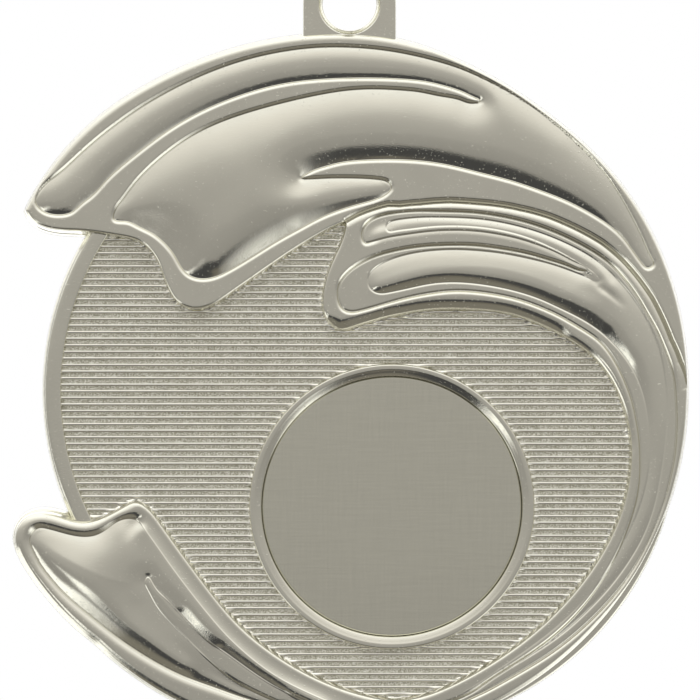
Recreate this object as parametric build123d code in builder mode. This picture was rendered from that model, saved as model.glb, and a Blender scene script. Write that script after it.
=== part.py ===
"""A die-cast medal with a wave relief, a ribbed field and an off-centre round recess.

The medal hangs upright. X runs to the right of someone facing it, Z runs up, and the
front faces -Y. The origin is on the flat back, at the centre of the circle that the
right side and the bottom edge follow. Every depth below is measured forward from the back.
"""
from build123d import *
import os

os.makedirs("parts", exist_ok=True)

# ---------------------------------------------------------------- driving dimensions, mm
medal_r = 35.1  # circle that the right side and the bottom edge follow
disc_r = 30.0  # base disc, seen as the bare left edge
disc_x = 0.6  # the base disc sits a little to the right of the medal's circle
field_r = 28.4  # ribbed field, inside the flat rim
low_centre = (4.0, -3.8)  # the field runs on under the waves at the bottom right
low_field_r = 29.0
low_disc_r = 30.0

plate_t = 2.0  # back plate
rib_pitch = 0.66
rib_w = 0.33
rib_skin = 0.08  # metal under the ribs
rib_h = 0.26  # top of a rib above the plate
rim_t = 2.6  # flat rim
lip_t = 3.4  # flat lips of the waves
swell_t = 4.3  # crests of the swells

recess = (5.4, -11.6)  # centre of the round recess
recess_r = 13.15
bezel_foot_r = 14.35
bezel_top_r = 14.2
bezel_in_r = 13.8
bezel_t = 2.9
pocket_t = 0.9  # metal left behind the recess
pad_t = 0.1
pad_r = 12.6
blank_r = 13.05
blank_t = 0.9

eyelet_x = 1.15
eyelet_z = 38.9
eyelet_w = 9.3
eyelet_hole_r = 2.7
eyelet_back = 0.6
eyelet_front = 2.6

ring_wire_r = 0.65
ring_r = 6.0  # centre line of the jump ring's wire
ring_gap = 0.35  # between the wire and the eyelet's bar
ring_cut = 2.5  # degrees, the butt joint in the wire

# ---------------------------------------------------------------- outlines in the XZ plane
wave_root = (0.8, 17.0)  # the upper wave and the crest wave part here, on the field's edge
right_meet = (34.95, 0.3)  # the crest line reaches the medal's right edge here
low_outer = (5.9, -34.6)  # foot of the crest wave, on the medal's edge
low_inner = (5.7, -31.0)  # foot of the crest wave, on the field's edge
left_tail = (-24.3, -25.33)  # the lower wave leaves the medal's circle here

top_edge = [
    (-31.3, 18.1), (-27.8, 23.5), (-23.8, 27.5), (-17.8, 31.3), (-11.8, 33.8), (-4.8, 35.4), (1.2, 35.7),
    (6.2, 35.1), (11.2, 33.4), (16.2, 30.9), (21.2, 27.5), (26.2, 23.1), (30.2, 17.9), (33.2, 11.3), right_meet,
]
crest_line = [
    wave_root, (4.2, 18.5), (9.2, 19.35), (13.2, 19.35), (17.2, 18.9), (21.2, 17.6),
    (25.2, 15.6), (28.7, 13.0), (31.6, 9.6), (33.9, 5.0), right_meet,
]
upper_hem = [
    wave_root, (-1.8, 15.7), (-7.8, 11.8), (-10.8, 9.7), (-12.8, 8.5), (-14.4, 8.2), (-15.8, 8.7), (-16.8, 9.9),
    (-17.5, 11.6), (-18.4, 13.6), (-19.8, 14.9), (-22.0, 15.5), (-25.8, 16.0), (-28.6, 16.2), (-30.4, 16.9),
    (-31.3, 18.1),
]
crest_hem = [
    low_inner, (9.2, -30.3), (13.2, -28.5), (19.2, -24.5), (25.2, -18.1), (28.4, -11.9), (29.3, -6.0),
    (28.6, -1.8), (25.4, 3.5), (21.2, 6.1), (17.2, 7.6), (13.2, 8.05), (9.2, 8.0), (5.2, 7.3), (1.6, 6.25),
    (0.1, 6.0), (-0.9, 6.7), (-1.5, 8.1), (-1.5, 9.9), (-0.8, 12.5), (0.2, 14.7), wave_root,
]
lower_hem = [
    left_tail, (-27.8, -22.2), (-30.2, -19.3), (-31.8, -16.8), (-32.4, -14.8), (-31.6, -12.9), (-30.0, -12.25),
    (-28.4, -12.4), (-26.6, -12.95), (-25.0, -13.05), (-23.3, -12.5), (-21.6, -11.6), (-20.3, -11.1),
    (-19.2, -11.6), (-17.8, -13.2), (-12.8, -20.0), (-9.8, -23.5), (-6.8, -26.0), (-1.8, -28.9), low_inner,
]

outer_swell = [
    (-30.0, 18.7), (-28.3, 17.9), (-26.4, 18.2), (-24.0, 20.3), (-20.8, 23.6), (-16.0, 27.0), (-9.0, 30.0),
    (-2.0, 31.2), (5.0, 31.2), (10.0, 30.3), (13.2, 29.7), (10.5, 32.4), (5.0, 34.2), (0.0, 34.6),
    (-6.0, 34.1), (-14.0, 31.9), (-21.0, 28.2), (-26.5, 23.3),
]
inner_swell = [
    (-22.6, 17.3), (-19.8, 16.6), (-17.6, 15.1), (-15.6, 12.2), (-14.4, 11.3), (-12.2, 11.3), (-9.0, 12.8),
    (-3.8, 16.1), (0.2, 18.0), (4.4, 19.2), (5.8, 20.8), (4.2, 21.6), (0.0, 21.9), (-2.6, 21.7), (-0.4, 22.7),
    (4.2, 23.05), (10.2, 22.5), (16.2, 21.25), (22.2, 18.7), (27.2, 16.2), (31.0, 12.6), (31.8, 12.9),
    (29.8, 17.0), (26.2, 21.3), (22.4, 25.4), (18.0, 28.4), (14.6, 28.9), (6.2, 30.1), (-3.8, 28.6),
    (-12.8, 25.4), (-18.8, 22.2), (-21.6, 19.4),
]
upper_strand = [
    (2.4, 14.7), (2.8, 16.3), (4.6, 17.5), (9.2, 18.0), (13.2, 18.0), (18.0, 17.4), (23.0, 15.7), (27.5, 12.9),
    (30.6, 9.2), (32.4, 5.0), (32.9, 2.4), (31.6, 5.6), (29.4, 9.2), (26.2, 12.3), (21.5, 14.5), (16.2, 15.6),
    (10.0, 16.0), (6.2, 15.6),
]
lower_strand = [
    (0.1, 9.9), (0.9, 11.9), (3.4, 13.6), (8.2, 14.7), (13.2, 14.8), (19.2, 14.2), (24.7, 12.1), (28.4, 8.6),
    (31.4, 4.2), (33.2, -0.8), (33.5, -5.4), (32.4, -10.6), (30.0, -16.0), (26.2, -21.4), (20.8, -26.6),
    (14.4, -30.5), (10.2, -32.1), (9.3, -32.2), (9.8, -31.6), (14.0, -29.5), (20.0, -25.6), (26.0, -19.2),
    (29.6, -12.4), (30.5, -5.6), (29.7, -1.6), (27.0, 3.2), (21.6, 7.6), (17.2, 9.3), (12.8, 9.8), (7.2, 9.4),
    (3.0, 8.3), (1.0, 8.0),
]
left_swell = [
    (-30.9, -14.6), (-29.6, -13.8), (-27.8, -14.1), (-25.4, -14.7), (-23.6, -14.3), (-22.2, -13.4),
    (-21.0, -12.7), (-20.1, -12.9), (-19.6, -14.2), (-19.8, -16.8), (-19.3, -19.6), (-17.6, -22.6),
    (-14.6, -25.6), (-10.5, -28.9), (-5.0, -31.6), (-1.2, -32.9), (-0.2, -33.4), (-1.2, -33.7), (-6.5, -33.1),
    (-12.5, -31.0), (-18.0, -27.9), (-23.0, -24.0), (-26.8, -20.6), (-29.6, -17.4),
]
inner_ridge = [
    (-18.9, -18.2), (-18.3, -17.2), (-17.2, -17.6), (-15.2, -20.2), (-12.0, -24.0), (-8.0, -27.4),
    (-2.8, -30.2), (1.6, -31.6), (2.4, -32.0), (1.6, -32.3), (-3.6, -31.0), (-8.4, -28.7), (-12.8, -25.6),
    (-16.2, -22.2), (-18.2, -19.6),
]


def smooth_face(points):
    """A flat face inside one smooth closed curve."""
    with BuildSketch(mode=Mode.PRIVATE) as face:
        with BuildLine():
            Spline(*points, periodic=True)
        make_face()
    return face.sketch


def upper_wave_face():
    with BuildSketch(mode=Mode.PRIVATE) as face:
        with BuildLine():
            Spline(*top_edge)
            Spline(*crest_line)
            Spline(*upper_hem)
        make_face()
    return face.sketch


def crest_wave_face():
    with BuildSketch(mode=Mode.PRIVATE) as face:
        with BuildLine():
            Spline(*crest_line)
            RadiusArc(right_meet, low_outer, medal_r)
            Line(low_outer, low_inner)
            Spline(*crest_hem)
        make_face()
    return face.sketch


def lower_wave_face():
    with BuildSketch(mode=Mode.PRIVATE) as face:
        with BuildLine():
            Line(low_inner, low_outer)
            RadiusArc(low_outer, left_tail, medal_r)
            Spline(*lower_hem)
        make_face()
    return face.sketch


def field_face():
    with BuildSketch(mode=Mode.PRIVATE) as face:
        with Locations((disc_x, 0)):
            Circle(field_r)
        with Locations(low_centre):
            Circle(low_field_r)
    return face.sketch


def front(depth):
    """The plane that lies this far forward of the back."""
    return Plane.XZ.offset(depth)


# ---------------------------------------------------------------- back plate
with BuildPart() as back_plate:
    with BuildSketch(front(0)):
        with Locations((disc_x, 0)):
            Circle(disc_r)
        with Locations(low_centre):
            Circle(low_disc_r)
        add(upper_wave_face())
        add(crest_wave_face())
        add(lower_wave_face())
    extrude(amount=plate_t)
    with BuildSketch(front(pocket_t)):
        with Locations(recess):
            Circle(recess_r)
    extrude(amount=plate_t, mode=Mode.SUBTRACT)
back_plate.part.label = "back_plate"
export_step(back_plate.part, "parts/back_plate.step")


# ---------------------------------------------------------------- waves: flat-topped plates
def wave_plate(face, name):
    """One wave, standing on the back plate up to its flat lip."""
    with BuildPart() as wave:
        with BuildSketch(front(plate_t)):
            add(face)
        extrude(amount=lip_t - plate_t)
    wave.part.label = name
    export_step(wave.part, f"parts/{name}.step")
    return wave.part


wave_faces = {
    "upper_wave": upper_wave_face(),
    "crest_wave": crest_wave_face(),
    "lower_wave": lower_wave_face(),
}
waves = {name: wave_plate(face, name) for name, face in wave_faces.items()}


# ---------------------------------------------------------------- swells: rounded pads on the waves
def swell(points, name):
    """One rounded swell, standing on its wave's lip."""
    with BuildPart() as pad:
        with BuildSketch(front(lip_t)):
            add(smooth_face(points))
        extrude(amount=swell_t - lip_t)
    pad.part.label = name
    export_step(pad.part, f"parts/{name}.step")
    return pad.part


swells = {
    "outer_swell": outer_swell,
    "inner_swell": inner_swell,
    "upper_strand": upper_strand,
    "lower_strand": lower_strand,
    "left_swell": left_swell,
    "inner_ridge": inner_ridge,
}
for name, points in swells.items():
    swell(points, name)


# ---------------------------------------------------------------- rim, field and bezel
def waves_and_bezel(depth):
    """A tool that clears the waves and the bezel out of what lies between them."""
    with BuildPart(mode=Mode.PRIVATE) as tool:
        with BuildSketch(front(depth)):
            for face in wave_faces.values():
                add(face)
            with Locations(recess):
                Circle(bezel_foot_r)
        extrude(amount=lip_t)
    return tool.part


def main_solid(part):
    """The largest solid, without the slivers a curved cut can leave."""
    return part.solids().sort_by(SortBy.VOLUME)[-1]


with BuildPart() as flat_rim:
    with BuildSketch(front(plate_t)):
        with Locations((disc_x, 0)):
            Circle(disc_r)
        add(field_face(), mode=Mode.SUBTRACT)
    extrude(amount=rim_t - plate_t)
    add(waves_and_bezel(plate_t), mode=Mode.SUBTRACT)
rim = main_solid(flat_rim.part)
rim.label = "flat_rim"
export_step(rim, "parts/flat_rim.step")

with BuildPart() as ribbed_field:
    with BuildSketch(front(plate_t)):
        add(field_face())
    extrude(amount=rib_skin)
    with BuildSketch(front(plate_t + rib_skin)):
        with Locations((disc_x, 0)):
            with GridLocations(0, rib_pitch, 1, int(2 * disc_r / rib_pitch) + 12):
                Rectangle(3 * field_r, rib_w)
        add(field_face(), mode=Mode.INTERSECT)
    extrude(amount=rib_h - rib_skin)
    add(waves_and_bezel(plate_t), mode=Mode.SUBTRACT)
field = main_solid(ribbed_field.part)
field.label = "ribbed_field"
export_step(field, "parts/ribbed_field.step")

with BuildPart() as bezel_ring:
    with BuildSketch(Plane.XY.offset(recess[1])):
        with BuildLine():
            Polyline(
                (recess[0] + recess_r, -plate_t),
                (recess[0] + bezel_foot_r, -plate_t),
                (recess[0] + bezel_top_r, -bezel_t),
                (recess[0] + bezel_in_r, -bezel_t),
                close=True,
            )
        make_face()
    revolve(axis=Axis((recess[0], 0, recess[1]), (0, 1, 0)))
bezel_ring.part.label = "bezel_ring"
export_step(bezel_ring.part, "parts/bezel_ring.step")

# ---------------------------------------------------------------- what lies in the recess
with BuildPart() as adhesive_pad:
    with BuildSketch(front(pocket_t)):
        with Locations(recess):
            Circle(pad_r)
    extrude(amount=pad_t)
adhesive_pad.part.label = "adhesive_pad"
export_step(adhesive_pad.part, "parts/adhesive_pad.step")

with BuildPart() as centre_disc:
    with BuildSketch(front(pocket_t + pad_t)):
        with Locations(recess):
            Circle(blank_r)
    extrude(amount=blank_t)
centre_disc.part.label = "centre_disc"
export_step(centre_disc.part, "parts/centre_disc.step")

# ---------------------------------------------------------------- eyelet and jump ring
with BuildPart() as eyelet:
    with BuildSketch(front(eyelet_back)):
        with Locations((eyelet_x, eyelet_z)):
            Circle(eyelet_w / 2)
        with Locations((eyelet_x, eyelet_z - eyelet_w / 2)):
            Rectangle(eyelet_w, eyelet_w)
        with Locations((eyelet_x, eyelet_z)):
            Circle(eyelet_hole_r, mode=Mode.SUBTRACT)
    extrude(amount=eyelet_front - eyelet_back)
    add(back_plate.part, mode=Mode.SUBTRACT)
    add(waves["upper_wave"], mode=Mode.SUBTRACT)
loop = eyelet.part.solids().sort_by(Axis.Z)[-1]
loop.label = "eyelet"
export_step(loop, "parts/eyelet.step")

ring_y = -(eyelet_back + eyelet_front) / 2
ring_z = eyelet_z + eyelet_hole_r - ring_gap - ring_wire_r + ring_r
with BuildPart() as jump_ring:
    with BuildSketch(Plane.XY.offset(ring_z)):
        with Locations((eyelet_x, ring_y + ring_r)):
            Circle(ring_wire_r)
    revolve(axis=Axis((eyelet_x, ring_y, ring_z), (1, 0, 0)), revolution_arc=360 - ring_cut)
jump_ring.part.label = "jump_ring"
export_step(jump_ring.part, "parts/jump_ring.step")
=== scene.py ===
"""A silver-coloured die-cast medal: polished wave relief, ribbed field, round recess.

Lengths in this script are in millimetres until a mesh is made. Relief points are (x, z) as
seen from the front, and a depth is measured forward from the flat back.
"""
import math

import bpy
import numpy as np
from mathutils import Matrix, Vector, kdtree
from mathutils.geometry import delaunay_2d_cdt


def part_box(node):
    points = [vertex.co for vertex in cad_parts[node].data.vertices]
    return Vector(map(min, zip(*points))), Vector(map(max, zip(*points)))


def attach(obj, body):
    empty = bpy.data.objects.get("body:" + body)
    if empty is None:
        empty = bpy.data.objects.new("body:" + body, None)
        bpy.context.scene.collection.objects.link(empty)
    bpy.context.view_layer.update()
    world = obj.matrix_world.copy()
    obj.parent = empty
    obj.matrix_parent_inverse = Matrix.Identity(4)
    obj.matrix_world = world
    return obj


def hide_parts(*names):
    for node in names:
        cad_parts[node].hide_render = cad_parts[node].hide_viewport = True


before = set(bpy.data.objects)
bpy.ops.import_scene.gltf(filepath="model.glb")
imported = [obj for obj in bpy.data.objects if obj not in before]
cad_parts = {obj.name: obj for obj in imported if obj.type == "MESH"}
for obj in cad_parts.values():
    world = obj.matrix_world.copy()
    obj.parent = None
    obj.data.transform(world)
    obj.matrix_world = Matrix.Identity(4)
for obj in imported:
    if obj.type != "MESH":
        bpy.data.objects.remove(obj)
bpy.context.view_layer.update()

MM = 0.001
rng = np.random.default_rng(7)


def low(node):
    return np.array(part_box(node)[0]) / MM


def high(node):
    return np.array(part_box(node)[1]) / MM


def centre(node):
    return (low(node) + high(node)) / 2


def half_width(node):
    return (high(node) - low(node))[0] / 2


PLATE = -low("back_plate")[1]
LIP = -low("upper_wave")[1]
RIM = -low("flat_rim")[1]
RIB_TOP = -low("ribbed_field")[1]
BEZEL_TOP = -low("bezel_ring")[1]
DISC_TOP, DISC_BACK = -low("centre_disc")[1], -high("centre_disc")[1]
POCKET = -high("adhesive_pad")[1]
DRAFT = math.tan(math.radians(10.5))
CORNER = 25.0  # an outline that turns by more than this many degrees at a point has a corner there


# ---------------------------------------------------------------- curves
def spline(points, closed=True, step=0.1):
    """A smooth curve through the points, sampled at about this step."""
    p = np.array(points, float)
    if closed:
        p = np.vstack([p, p[:1]])
    t = np.concatenate([[0], np.cumsum(np.hypot(*np.diff(p, axis=0).T))])
    n = len(p)
    h = np.diff(t)
    a = np.zeros((n, n))
    b = np.zeros((n, 2))
    d = np.diff(p, axis=0) / h[:, None]
    for i in range(1, n - 1):
        a[i, i - 1], a[i, i], a[i, i + 1] = h[i], 2 * (h[i - 1] + h[i]), h[i - 1]
        b[i] = 3 * (h[i] * d[i - 1] + h[i - 1] * d[i])
    if closed:
        a[0, 0], a[0, n - 1] = 1, -1
        a[-1, 0], a[-1, 1] = 2 * h[-1], h[-1]
        a[-1, -1], a[-1, -2] = 2 * h[0], h[0]
        b[-1] = 3 * (h[-1] * d[0] + h[0] * d[-1])
    else:
        a[0, 0], a[0, 1], b[0] = 2, 1, 3 * d[0]
        a[-1, -1], a[-1, -2], b[-1] = 2, 1, 3 * d[-1]
    m = np.linalg.solve(a, b)
    s = np.linspace(0, t[-1], max(8, int(round(t[-1] / step))) + 1)
    if closed:
        s = s[:-1]
    k = np.clip(np.searchsorted(t, s, side="right") - 1, 0, n - 2)
    u = ((s - t[k]) / h[k])[:, None]
    hk = h[k][:, None]
    return (
        (1 + 2 * u) * (1 - u) ** 2 * p[k]
        + u * (1 - u) ** 2 * hk * m[k]
        + u**2 * (3 - 2 * u) * p[k + 1]
        + u**2 * (u - 1) * hk * m[k + 1]
    )


def front_loop(node, step):
    """The outline of a CAD node's front face, smooth between its corners, counter-clockwise."""
    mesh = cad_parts[node].data
    level = -low(node)[1]
    number, corners, ids = {}, [], []
    for v in mesh.vertices:
        key = tuple(round(c * 1e6) for c in v.co)
        if key not in number:
            number[key] = len(corners)
            corners.append((v.co.x / MM, v.co.z / MM, -v.co.y / MM))
        ids.append(number[key])
    edges = {}
    for f in mesh.polygons:
        face = [ids[i] for i in f.vertices]
        if all(abs(corners[i][2] - level) < 1e-4 for i in face):
            edges.update(dict.fromkeys(zip(face, face[1:] + face[:1])))
    after = {i: j for i, j in edges if (j, i) not in edges}
    found = []
    while after:
        loop, at = [], next(iter(after))
        while at in after:
            loop.append(corners[at][:2])
            at = after.pop(at)
        found.append(np.array(loop))
    loop = max(found, key=lambda q: abs(area(q)))
    return smooth_loop(loop if area(loop) > 0 else loop[::-1], step)


def area(p):
    x, z = p.T
    return 0.5 * np.sum(x * np.roll(z, -1) - z * np.roll(x, -1))


def smooth_loop(loop, step):
    """The loop with a spline through each stretch between two corners."""
    a = loop - np.roll(loop, 1, axis=0)
    b = np.roll(loop, -1, axis=0) - loop
    turn = np.degrees(np.abs(np.arctan2(a[:, 0] * b[:, 1] - a[:, 1] * b[:, 0], (a * b).sum(1))))
    sharp = np.nonzero(turn > CORNER)[0]
    if len(sharp) == 0:
        return spline(loop, True, step)
    parts = []
    for i, j in zip(sharp, np.roll(sharp, -1)):
        if j <= i:
            j += len(loop)
        part = loop[np.arange(i, j + 1) % len(loop)]
        parts.append(spline(part, False, step)[:-1] if len(part) > 2 else dense(part, step)[:-1])
    return np.vstack(parts)


def dense(p, step):
    """Points along a straight stretch."""
    n = max(1, int(round(np.hypot(*(p[1] - p[0])) / step)))
    return p[0] + (p[1] - p[0]) * np.linspace(0, 1, n + 1)[:, None]


def circle(middle, radius, step=0.1, sides=None):
    n = sides or int(2 * math.pi * radius / step)
    a = np.linspace(0, 2 * math.pi, n, endpoint=False)
    return np.array(middle) + radius * np.stack([np.cos(a), np.sin(a)], 1)


def unit(v):
    return v / (np.hypot(*v.T)[:, None] + 1e-12)


def normals(p, closed=True, smooth=0):
    """Unit normals on the right of the direction of travel, which is outside a counter-clockwise loop."""
    t = np.roll(p, -1, axis=0) - np.roll(p, 1, axis=0) if closed else np.gradient(p, axis=0)
    n = unit(np.stack([t[:, 1], -t[:, 0]], 1))
    for _ in range(smooth):
        n = unit(n + np.roll(n, 1, axis=0) + np.roll(n, -1, axis=0))
    return n


INDEX, GAP = 1, 2  # what find_all gives for each point: the number of the nearest point, or its distance


def search_tree(points):
    tree = kdtree.KDTree(len(points))
    for i, (x, z) in enumerate(points.tolist()):
        tree.insert((x, z, 0.0), i)
    tree.balance()
    return tree


def find_all(tree, q, what):
    found = [tree.find((x, z, 0.0))[what] for x, z in q.tolist()]
    return np.array(found, int if what == INDEX else float)


class Line:
    """A dense polyline that answers how far points are from it, and on which side."""

    def __init__(self, points, closed=True):
        self.p = np.asarray(points, float)
        if closed and area(self.p) < 0:
            self.p = self.p[::-1]
        self.closed = closed
        self.tree = search_tree(self.p)
        self.n = normals(self.p, closed)

    def distance(self, q):
        """Signed distance, positive on the left of the line: inside a counter-clockwise loop."""
        self.index = i = find_all(self.tree, q, INDEX)
        size = len(self.p)
        best = np.full(len(q), 1e9)
        side = np.ones(len(q))
        for k in (-1, 0):
            a, b = i + k, i + k + 1
            a, b = (a % size, b % size) if self.closed else np.clip((a, b), 0, size - 1)
            pa, e = self.p[a], self.p[b] - self.p[a]
            t = np.clip(((q - pa) * e).sum(1) / ((e * e).sum(1) + 1e-15), 0, 1)[:, None]
            r = q - (pa + t * e)
            d = np.hypot(*r.T)
            near = d < best
            best = np.where(near, d, best)
            nn = self.n[a] * (1 - t) + self.n[b] * t
            side = np.where(near, np.where((r * nn).sum(1) > 0, -1.0, 1.0), side)
        return best * side


def smoothstep(a, b, x):
    t = np.clip((x - a) / (b - a), 0, 1)
    return t * t * (3 - 2 * t)


# ---------------------------------------------------------------- meshes
def make_piece(name, verts, faces, material):
    """A mesh object from vertices (x, depth, z) in mm."""
    mesh = bpy.data.meshes.new(name)
    mesh.from_pydata([(x, -d, z) for x, d, z in (np.asarray(verts, float) * MM).tolist()], [], faces)
    mesh.validate()
    mesh.update()
    mesh.shade_smooth()
    piece = bpy.data.objects.new(name, mesh)
    bpy.context.scene.collection.objects.link(piece)
    mesh.materials.append(material)
    return piece


def place(piece, body, slot, *nodes):
    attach(piece, body)
    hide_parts(*nodes)


def at_depth(q, depth):
    """(x, z) points as (x, depth, z) rows, for one depth or one for each point."""
    return np.stack([q[:, 0], np.broadcast_to(depth, len(q)), q[:, 1]], 1).tolist()


def triangulate(outlines, points):
    """Triangles inside the closed outlines (the first outside, the others holes), through the points."""
    verts = [tuple(q) for outline in outlines for q in outline.tolist()]
    edges, start = [], 0
    for outline in outlines:
        n = len(outline)
        edges += [(start + i, start + (i + 1) % n) for i in range(n)]
        start += n
    verts += [tuple(q) for q in points.tolist()]
    kept = 2 if len(outlines) > 1 else 1
    out = delaunay_2d_cdt([Vector(v) for v in verts], edges, [], kept, 1e-7)
    return np.array([tuple(v) for v in out[0]]), [tuple(f) for f in out[2]]


def facing_front(verts, faces):
    """Faces turned so that their normals point to the front."""
    v = np.asarray(verts)
    out = []
    for f in faces:
        a, b, c = v[f[0]], v[f[1]], v[f[2]]
        turn = (b[0] - a[0]) * (c[2] - a[2]) - (b[2] - a[2]) * (c[0] - a[0])
        out.append(f if turn > 0 else f[::-1])
    return out


def strip(outer, inner):
    """Quads between two closed rings of vertex numbers."""
    n = len(outer)
    return [(outer[i], inner[i], inner[(i + 1) % n], outer[(i + 1) % n]) for i in range(n)]


def skirt(verts, faces, rings):
    """Strips of quads between closed rings of equal length, outermost last."""
    n = len(rings[0])
    ids = (len(verts) + np.arange(n * len(rings))).reshape(-1, n).tolist()
    for ring in rings:
        verts.extend(ring)
    for a, b in zip(ids, ids[1:]):
        faces.extend(strip(a, b))


def thin(points, taken, gap):
    """The points that are at least this far from the points already taken."""
    return points[find_all(search_tree(taken), points, GAP) >= gap]


def dedupe(p, gap):
    """Drop points closer than the gap to an earlier one."""
    seen, keep = {}, []
    for i, (cx, cz) in enumerate(np.floor(p / gap).astype(int).tolist()):
        x, z = p[i]
        around = [j for a in (-1, 0, 1) for b in (-1, 0, 1) for j in seen.get((cx + a, cz + b), ())]
        if all((p[j, 0] - x) ** 2 + (p[j, 1] - z) ** 2 >= gap * gap for j in around):
            seen.setdefault((cx, cz), []).append(i)
            keep.append(i)
    return p[keep]


def hex_grid(outline, step):
    """Points in a triangular pattern that covers the outline's box."""
    lo, hi = outline.min(0), outline.max(0)
    out = []
    for k, z in enumerate(np.arange(lo[1], hi[1], step * math.sqrt(3) / 2)):
        x = np.arange(lo[0] + (k % 2) * step / 2, hi[0], step)
        out.append(np.stack([x, np.full(len(x), z)], 1))
    return np.vstack(out)


# ---------------------------------------------------------------- relief
SWEEPS, RELAX = 420, 1.94


class Pillow:
    """A smooth swelling inside a closed outline, whose slope at the edge is given along it."""

    def __init__(self, line, slope, cell=0.12):
        self.line, self.slope, self.cell = line, slope, cell
        self.lo = line.p.min(0) - 4 * cell
        size = ((line.p.max(0) + 4 * cell - self.lo) / cell).astype(int) + 1
        gx, gz = np.meshgrid(np.arange(size[0]), np.arange(size[1]), indexing="ij")
        at = self.lo + cell * np.stack([gx.ravel(), gz.ravel()], 1)
        s = line.distance(at).reshape(size)
        # a soap film under pressure, solved by over-relaxation on a chequerboard
        u = np.zeros(size)
        squares = [((gx + gz) % 2 == odd) & (s > 0.4 * cell) for odd in (0, 1)]
        for _ in range(SWEEPS):
            for mask in squares:
                mean = np.zeros(size)
                mean[1:-1, 1:-1] = 0.25 * (u[2:, 1:-1] + u[:-2, 1:-1] + u[1:-1, 2:] + u[1:-1, :-2])
                u = np.where(mask, u + RELAX * (mean + 0.5 * cell * cell - u), u)
        # the width that a round swelling of this height would have there
        deep = s > 0.3
        width = np.where(deep, u / np.maximum(s, 0.1) + s, 0.0)
        weight = deep.astype(float)
        for _ in range(3):
            width, weight = blur(width, 3), blur(weight, 3)
        self.width = width / np.maximum(weight, 1e-6)
        self.u = u

    def height(self, q, s):
        """How far the swelling stands out at q, which is s inside its outline."""
        inside = np.maximum(s, 0)
        g = (q - self.lo) / self.cell
        w = np.maximum(sample(self.width, g), 0.4)
        near = 1 - smoothstep(0.15, 0.4, inside)
        edge = inside * np.maximum(1 - inside / w, 0.2)
        return self.slope(q) * np.where(s > 0, near * edge + (1 - near) * sample(self.u, g) / w, 0.0)


def blur(a, radius):
    """A running mean along both axes."""
    span = 2 * radius + 1
    for axis in (0, 1):
        pad = [(0, 0), (0, 0)]
        pad[axis] = (radius + 1, radius)
        c = np.cumsum(np.pad(a, pad), axis=axis)
        start = np.arange(a.shape[axis])
        a = (np.take(c, start + span, axis=axis) - np.take(c, start, axis=axis)) / span
    return a


def sample(grid, g):
    """Cubic B-spline samples of a grid at fractional positions."""
    i = np.floor(g).astype(int)
    w = []
    for t in (g - i).T:
        middle = ((3 * t**3 - 6 * t**2 + 4) / 6, (-3 * t**3 + 3 * t**2 + 3 * t + 1) / 6)
        w.append(((1 - t) ** 3 / 6, *middle, t**3 / 6))
    out = np.zeros(len(g))
    for a in range(4):
        x = np.clip(i[:, 0] + a - 1, 0, grid.shape[0] - 1)
        for b in range(4):
            z = np.clip(i[:, 1] + b - 1, 0, grid.shape[1] - 1)
            out += w[0][a] * w[1][b] * grid[x, z]
    return out


def blend_field(*parts):
    """A value that follows the nearest of several open lines: each part is (value, points)."""
    rows = [(value, Line(spline(points, False, 0.4), False)) for value, points in parts]

    def field(q):
        weight, total = np.zeros(len(q)), np.zeros(len(q))
        for value, line in rows:
            w = (line.distance(q) ** 2 + 0.02) ** -1.2
            weight += w
            total += w * value
        return total / weight

    return field


GROOVE = 0.34  # depth of the groove round a swell
SHOULDER = 0.42  # width of the rounded shoulder that falls into it
# rows of points beside a swell's outline and inside a wave's edge, for the fine shape there
ROWS = (-0.42, -0.34, -0.27, -0.21, -0.16, -0.12, -0.08, -0.04, 0.0, 0.05, 0.1, 0.17, 0.26)
EDGE_ROWS = (0.02, 0.05, 0.1, 0.16, 0.22, 0.3, 0.4, 0.5)
GRID = 0.15  # spacing of the points elsewhere
FINE_GAP, RIM_GAP = 0.035, 0.015  # least gap between the points in rows, and from them to the edge
EDGE_R = 0.28  # smallest radius of the waves' outer edges
EDGE_FALL = 0.6  # how much of a larger radius goes into depth
SEAM_FALL = 0.42  # how far a wave falls to the seam
SUNK = 0.1  # the waves' walls reach this far into the plate


def seam_line(s, height, width):
    """The fine raised line beside a swell's outline, just outside it."""
    return height * np.exp(-(((s + 0.11) / width) ** 2))


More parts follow.
